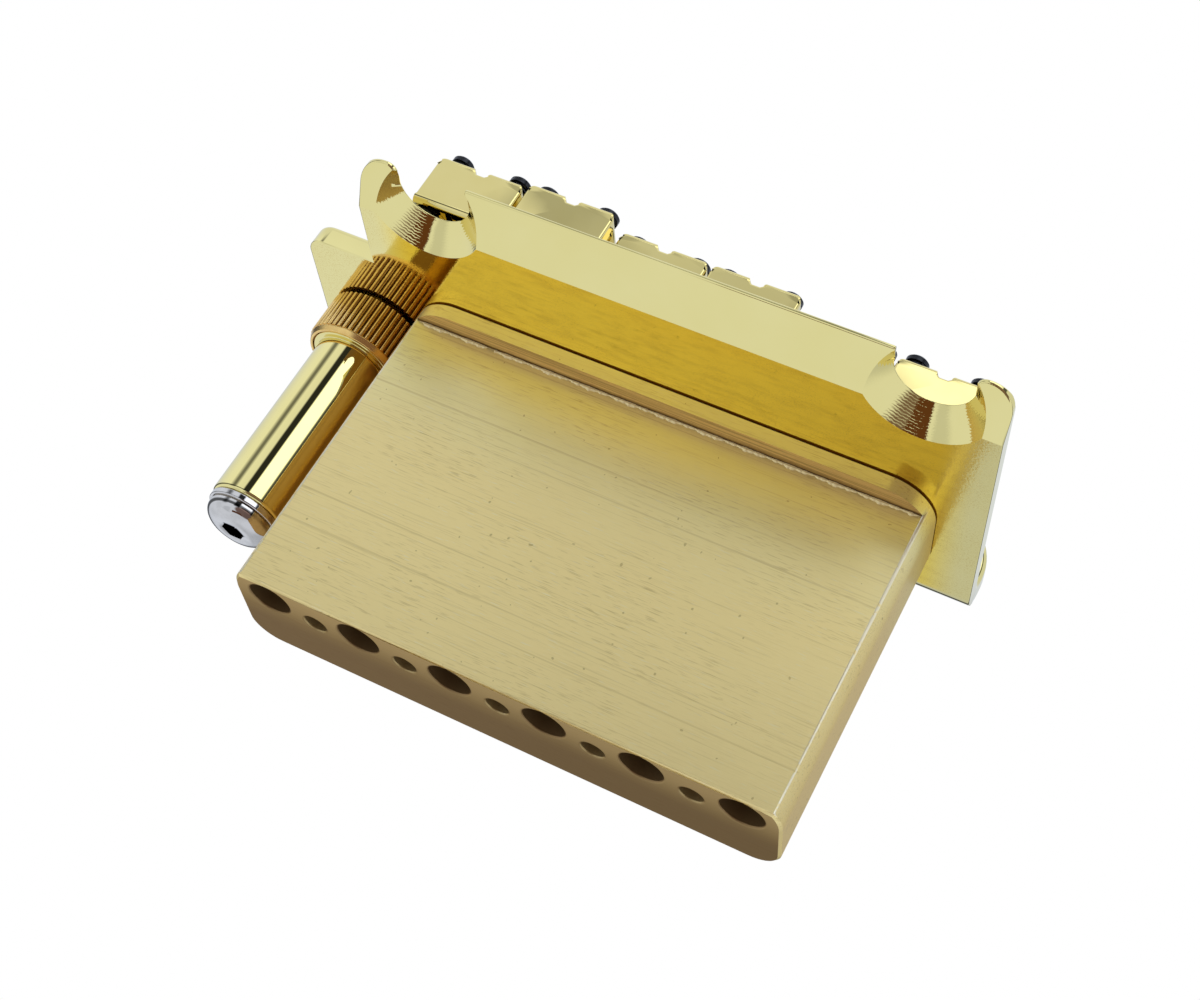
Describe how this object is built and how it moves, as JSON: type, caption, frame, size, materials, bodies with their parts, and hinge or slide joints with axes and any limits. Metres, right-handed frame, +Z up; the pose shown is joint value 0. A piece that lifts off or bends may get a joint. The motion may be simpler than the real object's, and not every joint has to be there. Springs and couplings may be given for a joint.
{
  "type": "guitar tremolo bridge",
  "caption": "Two-post guitar tremolo bridge: knife-edge plate, deep block, screw-set saddles and an arm socket with tension ring.",
  "frame": {"origin": "midway between the two pivot posts' axes, on the plate's top face, at the knife edges", "axes": "+X across the strings away from the arm socket, +Y from the neck to the tail, +Z up to the strings"},
  "size_m": [0.0813, 0.042, 0.0507],
  "materials": {
    "gold_plate": "gold plating on steel, mirror on edges and bevel, satin below",
    "gold_saddle": "mirror gold plating on steel",
    "gold_tube": "mirror gold plating on brass",
    "gold_screws": "gold-plated steel",
    "knurled_brass": "satin, knurled",
    "brass_block": "brushed, bare brass",
    "bright_steel": "polished steel",
    "black_screws": "black oxide",
    "spring_steel": "bright spring wire",
    "bush_plastic": "black acetal"
  },
  "bodies": {
    "bridge": {"base_plate": "gold_plate", "sustain_block": "brass_block", "block_screws": "gold_screws", "arm_socket": "gold_tube", "socket_nut": "gold_plate", "arm_bush": "bush_plastic", "arm_stop_pad": "bush_plastic", "socket_washer": "bright_steel", "socket_screw": "bright_steel"},
    "tension_ring": {"tension_ring": "knurled_brass"},
    "spring_1": {"intonation_spring_1": "spring_steel"},
    "screw_1": {"intonation_screw_1": "gold_screws"},
    "saddle_1": {"saddle_1": "gold_saddle"},
    "height_screws_1": {"height_screws_1": "black_screws"},
    "spring_2": {"intonation_spring_2": "spring_steel"},
    "screw_2": {"intonation_screw_2": "gold_screws"},
    "saddle_2": {"saddle_2": "gold_saddle"},
    "height_screws_2": {"height_screws_2": "black_screws"},
    "spring_3": {"intonation_spring_3": "spring_steel"},
    "screw_3": {"intonation_screw_3": "gold_screws"},
    "saddle_3": {"saddle_3": "gold_saddle"},
    "height_screws_3": {"height_screws_3": "black_screws"},
    "spring_4": {"intonation_spring_4": "spring_steel"},
    "screw_4": {"intonation_screw_4": "gold_screws"},
    "saddle_4": {"saddle_4": "gold_saddle"},
    "height_screws_4": {"height_screws_4": "black_screws"},
    "spring_5": {"intonation_spring_5": "spring_steel"},
    "screw_5": {"intonation_screw_5": "gold_screws"},
    "saddle_5": {"saddle_5": "gold_saddle"},
    "height_screws_5": {"height_screws_5": "black_screws"},
    "spring_6": {"intonation_spring_6": "spring_steel"},
    "screw_6": {"intonation_screw_6": "gold_screws"},
    "saddle_6": {"saddle_6": "gold_saddle"},
    "height_screws_6": {"height_screws_6": "black_screws"}
  },
  "joints": [
    {"name": "tension_ring_turn", "type": "hinge", "parent": "bridge", "child": "tension_ring", "pos_m": [-0.0377, 0.0249, -0.00315], "axis": [0, 0, 1], "range_deg": [-180, 180]},
    {"name": "saddle_height_1", "type": "slide", "parent": "bridge", "child": "spring_1", "axis": [0, 0, 1], "range_m": [-0.001, 0.001]},
    {"name": "saddle_slide_1", "type": "slide", "parent": "spring_1", "child": "saddle_1", "axis": [0, 1, 0], "range_m": [-0.0004, 0.0076], "deforming": ["intonation_spring_1"]},
    {"name": "intonation_turn_1", "type": "hinge", "parent": "spring_1", "child": "screw_1", "pos_m": [-0.027, 0.03765, 0.0043], "axis": [0, -1, 0], "range_deg": [-293, 5477]},
    {"name": "height_screws_rise_1", "type": "slide", "parent": "saddle_1", "child": "height_screws_1", "axis": [0, 0, 1], "range_m": [-0.00101, 0.00101]},
    {"name": "saddle_height_2", "type": "slide", "parent": "bridge", "child": "spring_2", "axis": [0, 0, 1], "range_m": [-0.001, 0.001]},
    {"name": "saddle_slide_2", "type": "slide", "parent": "spring_2", "child": "saddle_2", "axis": [0, 1, 0], "range_m": [-0.0004, 0.0076], "deforming": ["intonation_spring_2"]},
    {"name": "intonation_turn_2", "type": "hinge", "parent": "spring_2", "child": "screw_2", "pos_m": [-0.0162, 0.03765, 0.00488], "axis": [0, -1, 0], "range_deg": [-293, 5477]},
    {"name": "height_screws_rise_2", "type": "slide", "parent": "saddle_2", "child": "height_screws_2", "axis": [0, 0, 1], "range_m": [-0.00101, 0.00101]},
    {"name": "saddle_height_3", "type": "slide", "parent": "bridge", "child": "spring_3", "axis": [0, 0, 1], "range_m": [-0.001, 0.001]},
    {"name": "saddle_slide_3", "type": "slide", "parent": "spring_3", "child": "saddle_3", "axis": [0, 1, 0], "range_m": [-0.0033, 0.0047], "deforming": ["intonation_spring_3"]},
    {"name": "intonation_turn_3", "type": "hinge", "parent": "spring_3", "child": "screw_3", "pos_m": [-0.0054, 0.03765, 0.00518], "axis": [0, -1, 0], "range_deg": [-2381, 3389]},
    {"name": "height_screws_rise_3", "type": "slide", "parent": "saddle_3", "child": "height_screws_3", "axis": [0, 0, 1], "range_m": [-0.00101, 0.00101]},
    {"name": "saddle_height_4", "type": "slide", "parent": "bridge", "child": "spring_4", "axis": [0, 0, 1], "range_m": [-0.001, 0.001]},
    {"name": "saddle_slide_4", "type": "slide", "parent": "spring_4", "child": "saddle_4", "axis": [0, 1, 0], "range_m": [-0.0033, 0.0047], "deforming": ["intonation_spring_4"]},
    {"name": "intonation_turn_4", "type": "hinge", "parent": "spring_4", "child": "screw_4", "pos_m": [0.0054, 0.03765, 0.00518], "axis": [0, -1, 0], "range_deg": [-2381, 3389]},
    {"name": "height_screws_rise_4", "type": "slide", "parent": "saddle_4", "child": "height_screws_4", "axis": [0, 0, 1], "range_m": [-0.00101, 0.00101]},
    {"name": "saddle_height_5", "type": "slide", "parent": "bridge", "child": "spring_5", "axis": [0, 0, 1], "range_m": [-0.001, 0.001]},
    {"name": "saddle_slide_5", "type": "slide", "parent": "spring_5", "child": "saddle_5", "axis": [0, 1, 0], "range_m": [-0.0062, 0.0018], "deforming": ["intonation_spring_5"]},
    {"name": "intonation_turn_5", "type": "hinge", "parent": "spring_5", "child": "screw_5", "pos_m": [0.0162, 0.03765, 0.00488], "axis": [0, -1, 0], "range_deg": [-4469, 1301]},
    {"name": "height_screws_rise_5", "type": "slide", "parent": "saddle_5", "child": "height_screws_5", "axis": [0, 0, 1], "range_m": [-0.00101, 0.00101]},
    {"name": "saddle_height_6", "type": "slide", "parent": "bridge", "child": "spring_6", "axis": [0, 0, 1], "range_m": [-0.001, 0.001]},
    {"name": "saddle_slide_6", "type": "slide", "parent": "spring_6", "child": "saddle_6", "axis": [0, 1, 0], "range_m": [-0.0062, 0.0018], "deforming": ["intonation_spring_6"]},
    {"name": "intonation_turn_6", "type": "hinge", "parent": "spring_6", "child": "screw_6", "pos_m": [0.027, 0.03765, 0.0043], "axis": [0, -1, 0], "range_deg": [-4469, 1301]},
    {"name": "height_screws_rise_6", "type": "slide", "parent": "saddle_6", "child": "height_screws_6", "axis": [0, 0, 1], "range_m": [-0.00101, 0.00101]}
  ],
  "couplings": [
    {"joint": "intonation_turn_1", "follows": "saddle_slide_1", "rad_per_m": 12566},
    {"joint": "height_screws_rise_1", "follows": "saddle_height_1", "ratio": -1},
    {"joint": "intonation_turn_2", "follows": "saddle_slide_2", "rad_per_m": 12566},
    {"joint": "height_screws_rise_2", "follows": "saddle_height_2", "ratio": -1},
    {"joint": "intonation_turn_3", "follows": "saddle_slide_3", "rad_per_m": 12566},
    {"joint": "height_screws_rise_3", "follows": "saddle_height_3", "ratio": -1},
    {"joint": "intonation_turn_4", "follows": "saddle_slide_4", "rad_per_m": 12566},
    {"joint": "height_screws_rise_4", "follows": "saddle_height_4", "ratio": -1},
    {"joint": "intonation_turn_5", "follows": "saddle_slide_5", "rad_per_m": 12566},
    {"joint": "height_screws_rise_5", "follows": "saddle_height_5", "ratio": -1},
    {"joint": "intonation_turn_6", "follows": "saddle_slide_6", "rad_per_m": 12566},
    {"joint": "height_screws_rise_6", "follows": "saddle_height_6", "ratio": -1}
  ]
}
